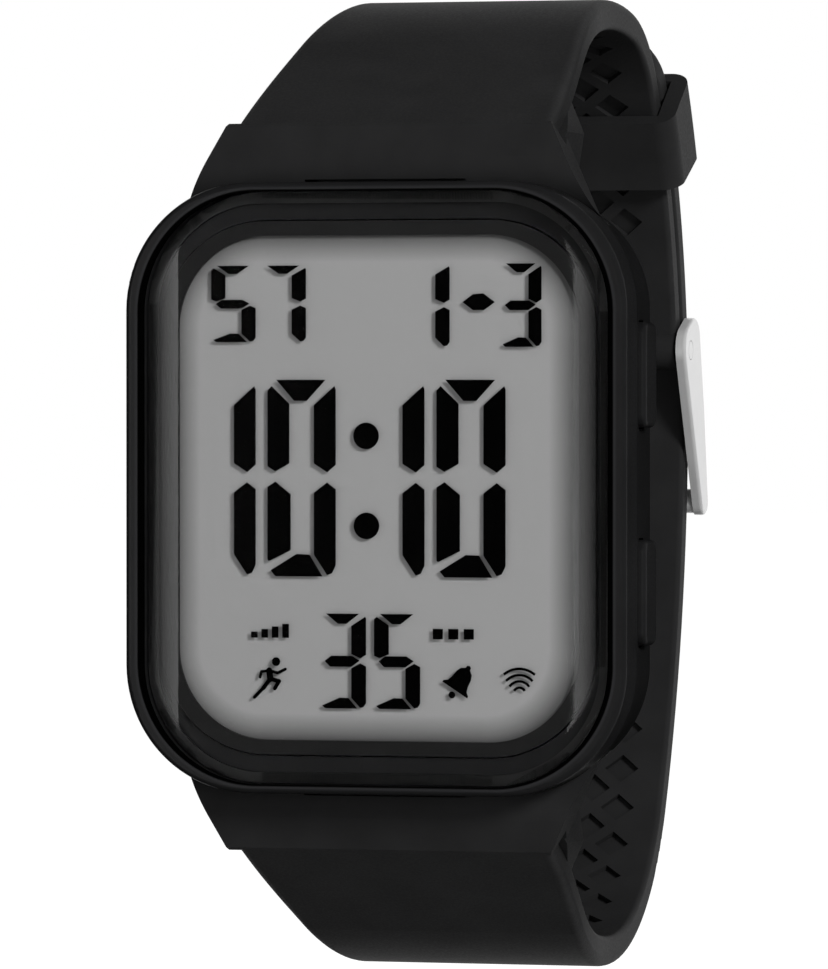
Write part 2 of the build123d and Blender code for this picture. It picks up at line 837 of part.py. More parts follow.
# The strap is drawn in side view as a straight run and arcs of its outer surface. Each arc is
# a centre, a radius and the angles at which it starts and ends.
pivot = Vector(-lug_height, lug_reach)
strap_start = pivot + outward(strap_heading) * strap_lift
face_angle = 2 * quarter_turn - shoulder_lean
face_start = pivot + along(face_angle) * shoulder_radius
face_end = face_start + along(quarter_turn - shoulder_lean) * shoulder_face
crease_run = (face_end - strap_start).dot(along(strap_heading))
crease = strap_start + along(strap_heading) * crease_run
tail_radius = upper_back_radius + tail_gap + strap_thickness
wrist_centre = Vector(wrist_centre_y, wrist_centre_z)


def strap_arcs(centre, back_radius, bend_radius, bend_heading, corner_radius, back_end):
    """The three arcs that lead from the straight run round to the back of the wrist."""
    normal = outward(strap_heading)
    heading = along(strap_heading)
    shift = outward(bend_heading) * (bend_radius - corner_radius)
    offset = strap_start - normal * bend_radius + shift - centre
    lean = offset.dot(heading)
    reach = back_radius - corner_radius
    straight = math.sqrt(lean**2 - offset.dot(offset) + reach**2) - lean
    bend_centre = strap_start + heading * straight - normal * bend_radius
    corner_centre = bend_centre + shift
    toward = corner_centre - centre
    back_angle = math.degrees(math.atan2(toward.Y, toward.X))
    bend_first = strap_heading + quarter_turn
    bend_last = bend_heading + quarter_turn
    return [
        (bend_centre, bend_radius, bend_first, bend_last),
        (corner_centre, corner_radius, bend_last, back_angle),
        (centre, back_radius, back_angle, back_end),
    ]


def surface_points(arcs, depth):
    """Start, middle and end of each arc at a depth under the strap's outer surface."""
    return [
        [
            centre + along(angle) * (radius - depth)
            for angle in (first, (first + last) / 2, last)
        ]
        for centre, radius, first, last in arcs
    ]


def depth_of(point, arcs):
    """How deep a point in side view lies under the strap's outer surface."""
    if (point - surface_points(arcs, 0)[0][0]).dot(along(strap_heading)) < 0:
        return -(point - strap_start).dot(outward(strap_heading))
    for centre, radius, first, last in arcs:
        reach = point - centre
        if last <= math.degrees(math.atan2(reach.Y, reach.X)) <= first:
            return radius - reach.length
    return strap_thickness / 2


def strap_band(side, arcs, tail):
    """The strap without its shoulder: the side view cut to the outline seen from the front."""
    outer = surface_points(arcs, 0)
    inner = surface_points(arcs, strap_thickness)
    lead = outward(strap_heading) * strap_thickness

    def flat(point):
        return (point.X, side * point.Y)

    with BuildPart() as band:
        with BuildSketch(Plane.YZ):
            with BuildLine():
                Line(flat(crease), flat(outer[0][0]))
                for first, middle, last in outer:
                    ThreePointArc(flat(first), flat(middle), flat(last))
                Line(flat(outer[-1][-1]), flat(inner[-1][-1]))
                for first, middle, last in reversed(inner):
                    ThreePointArc(flat(last), flat(middle), flat(first))
                Polyline(flat(inner[0][0]), flat(crease - lead), flat(crease))
            make_face()
        extrude(amount=strap_front_width, both=True)
        with BuildSketch(Plane.XY):
            with BuildLine():
                for flip in (1, -1):
                    front = (flip * strap_front_width / 2, strap_front_place)
                    middle = (flip * strap_middle_width / 2, strap_middle_place)
                    back = (flip * strap_back_width / 2, strap_back_place)
                    Spline(front, middle, back, tangents=((0, 1), (0, 1)))
                    Line(back, (flip * strap_back_width / 2, strap_reach))
                for width, place in (
                    (strap_front_width, strap_front_place),
                    (strap_back_width, strap_reach),
                ):
                    Line((width / 2, place), (-width / 2, place))
            make_face()
        extrude(amount=strap_reach, both=True, mode=Mode.INTERSECT)
        if tail:
            tip = surface_points(arcs, strap_thickness / 2)[-1][-1]
            corners = band.edges().filter_by(
                lambda edge: abs(edge.length - strap_thickness) < seat_gap
                and (Vector(edge.center().Y, side * edge.center().Z) - tip).length < seat_gap
            )
            fillet(corners, tail_corner)
        for depth, size in ((0, strap_edge_round), (strap_thickness, strap_inner_round)):
            rims = band.edges().filter_by(
                lambda edge: abs((edge % (1 / 2)).X) < 1 - seat_gap
                and abs(
                    depth_of(Vector((edge @ (1 / 2)).Y, side * (edge @ (1 / 2)).Z), arcs) - depth
                )
                < seat_gap
            )
            fillet(rims, size)
    return band


def strap_shoulder(side):
    """The thick end of a strap that turns in the case's channel, round and leaning back."""
    normal = outward(strap_heading)
    wedge_end = strap_start - normal * strap_thickness + along(strap_heading) * shoulder_wedge
    lip_end = face_end + along(strap_heading) * shoulder_lip
    reach = wedge_end - pivot
    spread = math.acos(shoulder_radius / reach.length)
    wedge_angle = math.degrees(math.atan2(reach.Y, reach.X) - spread)
    middle_angle = (wedge_angle + face_angle) / 2 - 2 * quarter_turn

    def flat(point):
        return (point.X, side * point.Y)

    with BuildPart() as shoulder:
        with BuildSketch(Plane.YZ):
            with BuildLine():
                Polyline(
                    flat(face_start),
                    flat(face_end),
                    flat(lip_end),
                    flat(lip_end - normal * strap_thickness * shoulder_cover_share),
                    flat(wedge_end + normal * strap_thickness * (1 - shoulder_cover_share)),
                    flat(wedge_end),
                    flat(pivot + along(wedge_angle) * shoulder_radius),
                )
                ThreePointArc(
                    flat(pivot + along(wedge_angle) * shoulder_radius),
                    flat(pivot + along(middle_angle) * shoulder_radius),
                    flat(face_start),
                )
            make_face()
        extrude(amount=shoulder_wide, both=True)
        with BuildSketch(Plane.XZ):
            with BuildLine():
                half = (
                    (shoulder_wide / 2, side * (lug_reach - shoulder_radius)),
                    (shoulder_narrow / 2, side * shoulder_narrow_place),
                    (shoulder_end / 2, side * wedge_end.Y),
                    (shoulder_end / 2, side * strap_reach),
                )
                other = [(-x, y) for x, y in reversed(half)]
                Polyline(*half, *other, close=True)
            make_face()
        extrude(amount=strap_reach, both=True, mode=Mode.INTERSECT)
        with BuildSketch(Plane.XY):
            with BuildLine():
                half = (
                    (shoulder_wide / 2, -case_front - overrun),
                    (shoulder_wide / 2, -lug_height - shoulder_radius + shoulder_plate),
                    (barrel_width / 2, -lug_height),
                    (barrel_width / 2, strap_reach),
                )
                other = [(-x, y) for x, y in reversed(half)]
                Polyline(*half, *other, close=True)
            make_face()
        extrude(amount=strap_reach, both=True, mode=Mode.INTERSECT)
    return shoulder


def lug_cut(side):
    """What the strap leaves free: room for the lug as the strap turns out, and the bar's bores."""
    turned = lug_radius + notch_gap
    swing = math.radians(strap_swing)
    notch = [
        Vector(turned, 0),
        Vector(turned, -notch_reach),
        Vector(-notch_reach, -notch_reach),
        Vector(
            -turned * math.cos(swing) - notch_reach * math.sin(swing),
            turned * math.sin(swing) - notch_reach * math.cos(swing),
        ),
        Vector(-turned * math.cos(swing), turned * math.sin(swing)),
    ]

    def flat(point):
        return (point.X, side * point.Y)

    with BuildPart() as cut:
        with BuildSketch(Plane.YZ):
            with Locations(flat(pivot)):
                Circle(turned)
            with BuildLine():
                Polyline(*[flat(pivot + corner) for corner in notch], close=True)
            make_face()
        extrude(amount=lug_width / 2 + notch_gap, both=True)
        with BuildSketch(Plane.YZ):
            with Locations(flat(pivot)):
                Circle(bar_radius + bar_gap)
        extrude(amount=bar_length / 2 + tip_flange + wall_gap, both=True)
        with BuildSketch(Plane.YZ):
            with Locations(flat(pivot)):
                Circle(tip_radius + seat_gap)
        extrude(amount=tip_reach + wall_gap, both=True)
    return cut


def pocket_planes(side, arcs, count):
    """Planes in rows along the strap's inner surface, each facing into the strap."""
    inner = [(centre, radius - strap_thickness, first, last) for centre, radius, first, last in arcs]
    straight = (surface_points(arcs, 0)[0][0] - strap_start).length - shoulder_wedge
    planes = []
    for row in range(count):
        run = (row + 1) * pocket_row
        normal = outward(strap_heading)
        spot = surface_points(arcs, strap_thickness)[0][0] + along(strap_heading) * (run - straight)
        rest = run - straight
        for centre, radius, first, last in inner:
            if rest > 0:
                turn = math.degrees(rest / radius)
                normal = along(max(first - turn, last))
                spot = centre + normal * radius
                rest -= math.radians(first - last) * radius
        spot = spot - normal * wall_gap
        planes.append(
            Plane(
                origin=(0, spot.X, side * spot.Y),
                x_dir=(1, 0, 0),
                z_dir=(0, normal.X, side * normal.Y),
            )
        )
    return planes


def strap_pockets(side, name, arcs):
    """Staggered rows of rhombic pockets that ventilate the strap's inner surface."""
    with BuildPart() as pockets:
        for row, plane in enumerate(pocket_planes(side, arcs, pocket_rows[name])):
            lone = row % 2
            columns = range(-pocket_columns + lone, pocket_columns + 1, 2)
            if row >= pocket_plain_rows[name]:
                columns = [column for column in columns if abs(column) > 1]
            with BuildSketch(plane):
                with Locations(*[(column * pocket_column, 0) for column in columns]):
                    Polygon(
                        (pocket_width / 2, 0),
                        (0, pocket_length / 2),
                        (-pocket_width / 2, 0),
                        (0, -pocket_length / 2),
                    )
            extrude(amount=pocket_depth + wall_gap)
    return pockets


upper_arcs = strap_arcs(
    wrist_centre,
    upper_back_radius,
    upper_bend_radius,
    upper_bend_heading,
    upper_corner_radius,
    hinge_angle,
)
upper_band = strap_band(1, upper_arcs, False)
upper_shoulder = strap_shoulder(1)
upper_cut = lug_cut(1)
upper_pockets = strap_pockets(1, "upper", upper_arcs)
hinge = wrist_centre + along(hinge_angle) * (upper_back_radius - knuckle_radius)

with BuildPart() as upper_strap:
    add(upper_band.part)
    add(upper_shoulder.part)
    add(upper_cut.part, mode=Mode.SUBTRACT)
    add(upper_pockets.part, mode=Mode.SUBTRACT)
    with BuildSketch(Plane.YZ):
        with Locations((hinge.X, hinge.Y)):
            Circle(knuckle_radius)
    extrude(amount=strap_back_width / 2, both=True)
    with BuildSketch(Plane.YZ):
        with Locations((hinge.X, hinge.Y)):
            Circle(hinge_bar_radius)
    extrude(amount=strap_back_width / 2, both=True, mode=Mode.SUBTRACT)
    with BuildSketch(Plane.XZ.offset(-hinge.X)):
        with Locations((0, hinge.Y - tongue_slot_length / 2)):
            Rectangle(tongue_width + 2 * tongue_slot_gap, 3 * tongue_slot_length)
    extrude(amount=2 * knuckle_radius, both=True, mode=Mode.SUBTRACT)
write_piece(upper_strap, "upper_strap")

# The lower strap carries on as the tail, which lies over the upper strap and under the keeper.
lower_centre = Vector(wrist_centre.X + tail_radius - lower_back_radius, -wrist_centre.Y)
lower_arcs = strap_arcs(
    lower_centre,
    lower_back_radius,
    lower_bend_radius,
    lower_bend_heading,
    lower_corner_radius,
    0,
)
corner_centre, corner_radius, corner_first, corner_last = upper_arcs[1]
lower_arcs.append((Vector(wrist_centre.X, -wrist_centre.Y), tail_radius, 0, -corner_last))
lower_arcs.append(
    (
        Vector(corner_centre.X, -corner_centre.Y),
        corner_radius + tail_gap + strap_thickness,
        -corner_last,
        -tail_end_angle,
    )
)
lower_band = strap_band(-1, lower_arcs, True)
lower_shoulder = strap_shoulder(-1)
lower_cut = lug_cut(-1)
lower_pockets = strap_pockets(-1, "lower", lower_arcs)
hole_planes = []
for step in range(-hole_count_below, hole_count_above + 1):
    run = hole_place + step * hole_pitch
    middle_y = wrist_centre.X if run > 0 else lower_centre.X
    radius = tail_radius if run > 0 else lower_back_radius
    ray = along(math.degrees(run / radius))
    hole_planes.append(
        Plane(
            origin=(0, middle_y + ray.X * radius, wrist_centre.Y + ray.Y * radius),
            x_dir=(1, 0, 0),
            z_dir=(0, ray.X, ray.Y),
        )
    )

with BuildPart() as lower_strap:
    add(lower_band.part)
    add(lower_shoulder.part)
    add(lower_cut.part, mode=Mode.SUBTRACT)
    add(lower_pockets.part, mode=Mode.SUBTRACT)
    for hole_plane in hole_planes:
        with BuildSketch(hole_plane):
            RectangleRounded(hole_width, hole_length, hole_corner)
        extrude(amount=2 * strap_thickness, both=True, mode=Mode.SUBTRACT)
write_piece(lower_strap, "lower_strap")

# The buckle frame has two shaped side plates and a round front bar on which the tongue rests.
frame_inner = strap_back_width / 2 + frame_gap
frame_outer = frame_inner + frame_thickness
bar_z = hinge.Y - frame_bar_drop
bar_depth = lower_back_radius**2 - (bar_z - wrist_centre.Y) ** 2
bar_y = lower_centre.X + math.sqrt(bar_depth) + frame_bar_gap + frame_bar_radius
with BuildPart() as buckle_frame:
    with BuildSketch(Plane.YZ.offset(frame_inner), Plane.YZ.offset(-frame_outer)):
        with Locations((hinge.X, hinge.Y)):
            Circle(frame_ear_radius)
        with Locations((hinge.X + frame_shoulder_shift[0], hinge.Y + frame_shoulder_shift[1])):
            Circle(frame_shoulder_radius)
        with Locations((hinge.X + frame_waist_shift[0], hinge.Y + frame_waist_shift[1])):
            Circle(frame_waist_radius)
        with Locations((bar_y, bar_z)):
            Circle(frame_end_radius)
        make_hull()
    extrude(amount=frame_thickness)
    outer_faces = buckle_frame.faces().filter_by(Axis.X).sort_by(Axis.X)
    fillet(outer_faces[0].edges() + outer_faces[-1].edges(), frame_round)
    with BuildSketch(Plane.YZ):
        with Locations((bar_y, bar_z)):
            Circle(frame_bar_radius)
    extrude(amount=frame_inner + frame_thickness / 2, both=True)
    with BuildSketch(Plane.YZ):
        with Locations((hinge.X, hinge.Y)):
            Circle(hinge_bar_radius + hinge_bar_gap)
    extrude(amount=frame_outer + overrun, both=True, mode=Mode.SUBTRACT)
write_piece(buckle_frame, "buckle_frame")

with BuildPart() as buckle_bar:
    with BuildSketch(Plane.YZ):
        with Locations((hinge.X, hinge.Y)):
            Circle(hinge_bar_radius)
    extrude(amount=frame_outer, both=True)
write_piece(buckle_bar, "buckle_bar")

# The tongue is a flat strip bent out through a hole of the tail and onto the frame's bar.
rest_y = bar_y + frame_bar_radius + tongue_rest_gap + tongue_thickness / 2
tongue_line = [(hinge.X, hinge.Y)]
tongue_line += [(hinge.X + y, hinge.Y + z) for y, z in tongue_shifts]
tongue_line += [(rest_y, bar_z + tongue_tip_drop), (rest_y, bar_z - tongue_tip_drop)]
with BuildPart() as tongue:
    with BuildSketch(Plane.YZ):
        with BuildLine():
            FilletPolyline(*tongue_line, radius=tongue_bend)
        trace(line_width=tongue_thickness)
        with Locations((hinge.X, hinge.Y)):
            Circle(tongue_ring_radius)
            Circle(hinge_bar_radius + hinge_bar_gap, mode=Mode.SUBTRACT)
    extrude(amount=tongue_width / 2, both=True)
    fillet(tongue.faces().sort_by(Axis.Z)[0].edges(), tongue_tip_round)
write_piece(tongue, "tongue")


def arc_block(inner, outer, middle, half_angle, width):
    """A block between two radii about the wrist's centre line, as wide as the strap or more."""
    first = middle - half_angle
    last = middle + half_angle

    def flat(radius, angle):
        point = wrist_centre + along(angle) * radius
        return (point.X, point.Y)

    with BuildPart() as block:
        with BuildSketch(Plane.YZ):
            with BuildLine():
                ThreePointArc(flat(outer, first), flat(outer, middle), flat(outer, last))
                Line(flat(outer, last), flat(inner, last))
                ThreePointArc(flat(inner, last), flat(inner, middle), flat(inner, first))
                Line(flat(inner, first), flat(outer, first))
            make_face()
        extrude(amount=width / 2, both=True)
    return block


# The keeper is a loop round both straps that slides along them.
opening_inner = upper_back_radius - strap_thickness - keeper_gap
opening_outer = tail_radius + keeper_gap
opening_width = strap_back_width + 2 * keeper_gap
keeper_half = math.degrees(keeper_width / 2 / upper_back_radius)
keeper_block = arc_block(
    opening_inner - keeper_band,
    opening_outer + keeper_band,
    keeper_angle,
    keeper_half,
    opening_width + 2 * keeper_side,
)
keeper_opening = arc_block(
    opening_inner, opening_outer, keeper_angle, 2 * keeper_half, opening_width
)
with BuildPart() as keeper:
    add(keeper_block.part)
    ends = [
        edge
        for edge in keeper.edges()
        if abs((edge % (1 / 2)).X) < seat_gap and abs(edge.length - keeper_width) < overrun
    ]
    fillet(ends, keeper_corner)
    add(keeper_opening.part, mode=Mode.SUBTRACT)
write_piece(keeper, "keeper")
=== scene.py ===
import json
import math

import bpy
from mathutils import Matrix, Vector


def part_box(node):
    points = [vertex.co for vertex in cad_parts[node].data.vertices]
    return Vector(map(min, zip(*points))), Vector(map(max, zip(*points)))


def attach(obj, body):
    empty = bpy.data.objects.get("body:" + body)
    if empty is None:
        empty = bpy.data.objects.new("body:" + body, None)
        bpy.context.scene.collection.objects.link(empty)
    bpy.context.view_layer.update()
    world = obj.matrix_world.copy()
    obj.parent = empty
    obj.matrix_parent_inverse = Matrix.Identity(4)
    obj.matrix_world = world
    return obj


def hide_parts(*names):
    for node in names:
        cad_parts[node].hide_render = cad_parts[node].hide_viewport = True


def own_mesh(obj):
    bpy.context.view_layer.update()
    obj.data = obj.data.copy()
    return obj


# The looks of a rectangular digital wristwatch. Lengths are in metres, and a height is a
# distance from the case back's outer face towards the dial, so it lies along -Y.

mm = 0.001
degree = math.pi / 180

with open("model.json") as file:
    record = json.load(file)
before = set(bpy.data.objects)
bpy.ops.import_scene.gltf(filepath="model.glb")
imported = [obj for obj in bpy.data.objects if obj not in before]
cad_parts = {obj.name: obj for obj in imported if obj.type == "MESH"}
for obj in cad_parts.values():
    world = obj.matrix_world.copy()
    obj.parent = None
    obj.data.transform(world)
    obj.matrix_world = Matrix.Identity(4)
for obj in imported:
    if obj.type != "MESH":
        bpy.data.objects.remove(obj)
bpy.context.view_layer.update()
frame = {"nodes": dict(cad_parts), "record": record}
nodes = frame["nodes"]

# Camera
view_turn = 15.7 * degree
view_rise = 0.8 * degree
view_distance = 560 * mm
view_target = Vector((0, -11.8 * mm, 0))
view_lens = 277.7
view_sensor = 36
view_near = 10 * mm
view_shift_x = 0.0423
view_shift_y = 0.0041

# Crystal
crystal_half = (18.0 * mm, 22.25 * mm)
crystal_corner = 9.0 * mm
crystal_floor = 10.65 * mm
crystal_top = 12.35 * mm
crystal_edge_height = 11.72 * mm
window_half = (15.6 * mm, 19.0 * mm)
window_corner = 7.0 * mm
flat_half = (15.1 * mm, 20.0 * mm)
flat_corner = 2.5 * mm
bevel_start_slope = 0.12
bevel_steps = 14
glass_clear = 0.987
glass_index = 1.5
glass_rough = (0.09, 0.12)
glass_grain = 700

# Case, with painted shadow in the groove between the crystal and its rim, and a painted highlight
# on the lip that edges the groove
black = (0.0085, 0.0085, 0.0088)
case_rough = 0.34
case_specular = 0.12
groove_half = (18.5 * mm, 22.45 * mm)
groove_corner = 9.3 * mm
# The groove's near-black is painted shadow, and the lip's paler tone is a painted highlight
groove_shadow_colour = (0.0004, 0.0004, 0.0004)
lip_width = 0.2 * mm
lip_highlight_colour = (0.014, 0.014, 0.015)
band_blur = 0.05 * mm
band_heights = (11.2 * mm, 11.3 * mm)

# Display. Its marks are thin plates, and plates that touch lie at different heights.
display_grey = (0.284, 0.284, 0.284)
# The display's grey darkens towards the window's edge in painted shade, over shade_reach and moved
# sideways by shade_shift
display_painted_shade_grey = (0.075, 0.075, 0.075)
display_rough = (0.5, 0.62)
display_grain = 12000
display_specular = 0.1
ink_colour = (0.0004, 0.0004, 0.0004)
shade_reach = 2.0 * mm
shade_shift = -0.4 * mm
mark_floor = 10.57 * mm
mark_thickness = 0.02 * mm
mark_shift = -0.086 * mm
mark_layers = 3
mark_layer_step = 0.004 * mm

# Studio
plain_level = 0.38
white_level = 1.0
key_direction = Vector((0.72, -0.56, 0.41)).normalized()
key_distance = 1.0
key_size = 0.26
key_power = 11.6
flag_distance = 1.5
softbox_distance = 1.2
side_flag_y = 20 * mm
side_flag_left = 13 * mm
side_flag_size = (32 * mm, 80 * mm)

# The floor lies just under the lowest reach of the lower strap, which swings down as it opens
floor_level = -55.0 * mm
floor_half = 3.0
floor_glow = 0.9
floor_rough = 0.9
floor_grey = (0.8, 0.8, 0.8)
floor_seen_grey = (0.3, 0.3, 0.3)


def rounded_outline(half, corner, count=16):
    """Points of a rounded rectangle, anticlockwise from the right, as (x, z) pairs."""
    points = []
    for turn in range(4):
        side_x = 1 if turn in (0, 3) else -1
        side_z = 1 if turn in (0, 1) else -1
        for step in range(count + 1):
            angle = (turn + step / count) * math.pi / 2
            x = side_x * (half[0] - corner) + corner * math.cos(angle)
            z = side_z * (half[1] - corner) + corner * math.sin(angle)
            points.append((x, z))
    return points


def new_object(name, vertices, faces, smooth=True):
    """A mesh object from plain lists of points and faces."""
    mesh = bpy.data.meshes.new(name)
    mesh.from_pydata(vertices, [], faces)
    mesh.validate()
    for face in mesh.polygons:
        face.use_smooth = smooth
    piece = bpy.data.objects.new(name, mesh)
    bpy.context.scene.collection.objects.link(piece)
    return piece


# Materials
def node_of(tree, kind, **settings):
    """A new shader node with its settings."""
    node = tree.nodes.new(kind)
    for key, value in settings.items():
        setattr(node, key, value)
    return node


def object_place(tree, stretch=(1, 1, 1), shift=(0, 0, 0)):
    """The point on the object in metres, stretched along its axes and then shifted."""
    place = node_of(tree, "ShaderNodeTexCoord")
    mapping = node_of(tree, "ShaderNodeMapping")
    mapping.inputs["Location"].default_value = shift
    mapping.inputs["Scale"].default_value = stretch
    tree.links.new(place.outputs["Object"], mapping.inputs["Vector"])
    return mapping.outputs["Vector"]


def noise(tree, place, scale, detail=3.0, roughness=0.55):
    """Fractal noise with a number of waves per metre."""
    texture = node_of(tree, "ShaderNodeTexNoise")
    texture.inputs["Scale"].default_value = scale
    texture.inputs["Detail"].default_value = detail
    texture.inputs["Roughness"].default_value = roughness
    tree.links.new(place, texture.inputs["Vector"])
    return texture.outputs["Fac"]


def spread(tree, value, low, high, noise_low=0.3, noise_high=0.7):
    """A noise value carried from where most noise lies to a range."""
    change = node_of(tree, "ShaderNodeMapRange")
    change.inputs["From Min"].default_value = noise_low
    change.inputs["From Max"].default_value = noise_high
    change.inputs["To Min"].default_value = low
    change.inputs["To Max"].default_value = high
    tree.links.new(value, change.inputs["Value"])
    return change.outputs["Result"]


def between(tree, value, first, second):
    """A colour between two, by a value from 0 to 1."""
    mix = node_of(tree, "ShaderNodeMix", data_type="RGBA")
    mix.inputs["A"].default_value = (*first, 1)
    mix.inputs["B"].default_value = (*second, 1)
    tree.links.new(value, mix.inputs["Factor"])
    return mix.outputs["Result"]


def painted(tree, under, colour, cover):
    """A colour socket with another colour over it, as far as a value from 0 to 1 covers it."""
    mix = node_of(tree, "ShaderNodeMix", data_type="RGBA")
    mix.inputs["B"].default_value = (*colour, 1)
    tree.links.new(cover, mix.inputs["Factor"])
    tree.links.new(under, mix.inputs["A"])
    return mix.outputs["Result"]


def start_material(name):
    """A material with a principled shader, and its node tree."""
    material = bpy.data.materials.new(name)
    material.use_nodes = True
    tree = material.node_tree
    tree.nodes.clear()
    output = node_of(tree, "ShaderNodeOutputMaterial")
    shader = node_of(tree, "ShaderNodeBsdfPrincipled")
    tree.links.new(shader.outputs["BSDF"], output.inputs["Surface"])
    return material, tree, shader


def finish_material(
    name,
    colour,
    rough,
    metallic=0.0,
    specular=0.5,
    tint=0.12,
    rough_spread=0.06,
    blotch=220,
    grain=9000,
    grain_depth=0.004 * mm,
    stretch=(1, 1, 1),
    coat=0.0,
):
    """A moulded, cast or brushed surface: blotches in colour and gloss, and a fine grain."""
    material, tree, shader = start_material(name)
    place = object_place(tree)
    grain_place = object_place(tree, stretch)
    cloud = noise(tree, place, blotch)
    fine = noise(tree, grain_place, grain, detail=2.0)
    dark = tuple(channel * (1 - tint) for channel in colour)
    pale = tuple(channel * (1 + tint) for channel in colour)
    mixed = between(tree, spread(tree, cloud, 0, 1), dark, pale)
    tree.links.new(mixed, shader.inputs["Base Color"])
    gloss = spread(tree, fine, rough - rough_spread, rough + rough_spread)
    tree.links.new(gloss, shader.inputs["Roughness"])
    shader.inputs["Metallic"].default_value = metallic
    shader.inputs["Specular IOR Level"].default_value = specular
    shader.inputs["Coat Weight"].default_value = coat
    bump = node_of(tree, "ShaderNodeBump")
    bump.inputs["Distance"].default_value = grain_depth
    bump.inputs["Strength"].default_value = 1.0
    tree.links.new(fine, bump.inputs["Height"])
    tree.links.new(bump.outputs["Normal"], shader.inputs["Normal"])
    return material


def glass_material():
    """A clear crystal: what lies under it shows, and its outer face mirrors by Fresnel."""
    material, tree, shader = start_material("crystal_clear")
    tree.nodes.remove(shader)
    output = next(node for node in tree.nodes if node.type == "OUTPUT_MATERIAL")
    clear = node_of(tree, "ShaderNodeBsdfTransparent")
    clear.inputs["Color"].default_value = (glass_clear, glass_clear, glass_clear, 1)
    gloss = node_of(tree, "ShaderNodeBsdfAnisotropic")
    fine = noise(tree, object_place(tree), glass_grain)
    tree.links.new(spread(tree, fine, *glass_rough), gloss.inputs["Roughness"])
    fresnel = node_of(tree, "ShaderNodeFresnel")
    fresnel.inputs["IOR"].default_value = glass_index
    face = node_of(tree, "ShaderNodeNewGeometry")
    outside = math_node(tree, "SUBTRACT", 1.0, face.outputs["Backfacing"])
    mix = node_of(tree, "ShaderNodeMixShader")
    tree.links.new(math_node(tree, "MULTIPLY", fresnel.outputs["Fac"], outside), mix.inputs["Fac"])
    tree.links.new(clear.outputs["BSDF"], mix.inputs[1])
    tree.links.new(gloss.outputs["BSDF"], mix.inputs[2])
    tree.links.new(mix.outputs["Shader"], output.inputs["Surface"])
    return material


def math_node(tree, operation, first, second=None):
    """One step of arithmetic on sockets or numbers."""
    node = node_of(tree, "ShaderNodeMath", operation=operation)
    for socket, value in zip(node.inputs, (first, second)):
        if value is None:
            continue
        if isinstance(value, (int, float)):
            socket.default_value = value
        else:
            tree.links.new(value, socket)
    return node.outputs["Value"]


def seen_or_mirrored(tree):
    """1 on a ray from the camera, or one that a surface has mirrored or let through."""
    path = node_of(tree, "ShaderNodeLightPath")
    seen = math_node(tree, "MAXIMUM", path.outputs["Is Camera Ray"], path.outputs["Is Glossy Ray"])
    return math_node(tree, "MAXIMUM", seen, path.outputs["Is Transmission Ray"])


def outline_distance(tree, place, half, corner):
    """How far a point on the dial lies outside a rounded rectangle, below 0 inside it."""
    parts = node_of(tree, "ShaderNodeSeparateXYZ")
    tree.links.new(place, parts.inputs["Vector"])
    over = []
    for axis, reach in zip("XZ", half):
        away = math_node(tree, "ABSOLUTE", parts.outputs[axis])
        over.append(math_node(tree, "SUBTRACT", away, reach - corner))
    squares = [
        math_node(tree, "POWER", math_node(tree, "MAXIMUM", value, 0.0), 2.0) for value in over
    ]
    outside = math_node(tree, "SQRT", math_node(tree, "ADD", *squares))
    inside = math_node(tree, "MINIMUM", math_node(tree, "MAXIMUM", *over), 0.0)
    return math_node(tree, "SUBTRACT", math_node(tree, "ADD", outside, inside), corner)


def ramp(tree, value, low, high):
    """0 below a value, 1 above another, and even between them."""
    change = node_of(tree, "ShaderNodeMapRange")
    change.inputs["From Min"].default_value = low
    change.inputs["From Max"].default_value = high
    tree.links.new(value, change.inputs["Value"])
    return change.outputs["Result"]


def display_material():
    """The grey reflector of the display, with painted shade that darkens it towards the window's
    edge.
    """
    material, tree, shader = start_material("display_grey")
    place = object_place(tree)
    shaded_place = object_place(tree, shift=(-shade_shift, 0, 0))
    depth = outline_distance(tree, shaded_place, window_half, window_corner)
    shade = ramp(tree, depth, -shade_reach, 0.0)
    grey = between(tree, shade, display_grey, display_painted_shade_grey)
    tree.links.new(grey, shader.inputs["Base Color"])
    fine = noise(tree, place, display_grain, detail=2.0)
    tree.links.new(spread(tree, fine, *display_rough), shader.inputs["Roughness"])
    shader.inputs["Specular IOR Level"].default_value = display_specular
    return material


def case_material():
    """The case's resin, with painted shadow in the groove round the crystal and a painted
    highlight on its lip.
    """
    material = finish_material("case_resin", black, case_rough, specular=case_specular)
    tree = material.node_tree
    shader = next(node for node in tree.nodes if node.type == "BSDF_PRINCIPLED")
    place = object_place(tree)
    inner = outline_distance(tree, place, crystal_half, crystal_corner)
    outer = outline_distance(tree, place, groove_half, groove_corner)
    parts = node_of(tree, "ShaderNodeSeparateXYZ")
    tree.links.new(place, parts.inputs["Vector"])
    height = math_node(tree, "MULTIPLY", parts.outputs["Y"], -1.0)
    front = ramp(tree, height, *band_heights)
    past_crystal = ramp(tree, inner, 0.0, band_blur)
    before_lip = ramp(tree, outer, band_blur, -band_blur)
    groove_shadow = math_node(tree, "MULTIPLY", past_crystal, before_lip)
    groove_shadow = math_node(tree, "MULTIPLY", groove_shadow, front)
    past_groove = ramp(tree, outer, 0.0, band_blur)
    before_rim = ramp(tree, outer, lip_width + 2 * band_blur, lip_width - band_blur)
    lip_highlight = math_node(tree, "MULTIPLY", past_groove, before_rim)
    lip_highlight = math_node(tree, "MULTIPLY", lip_highlight, front)
    resin = shader.inputs["Base Color"].links[0].from_socket
    # Painted highlight on the lip, then painted shadow in the groove, where the specular is also
    # taken away
    lip_highlighted = painted(tree, resin, lip_highlight_colour, lip_highlight)
    groove_shaded = painted(tree, lip_highlighted, groove_shadow_colour, groove_shadow)
    tree.links.new(groove_shaded, shader.inputs["Base Color"])
    unshaded = math_node(tree, "SUBTRACT", 1.0, groove_shadow)
    dull = math_node(tree, "MULTIPLY", unshaded, case_specular)
    tree.links.new(dull, shader.inputs["Specular IOR Level"])
    return material


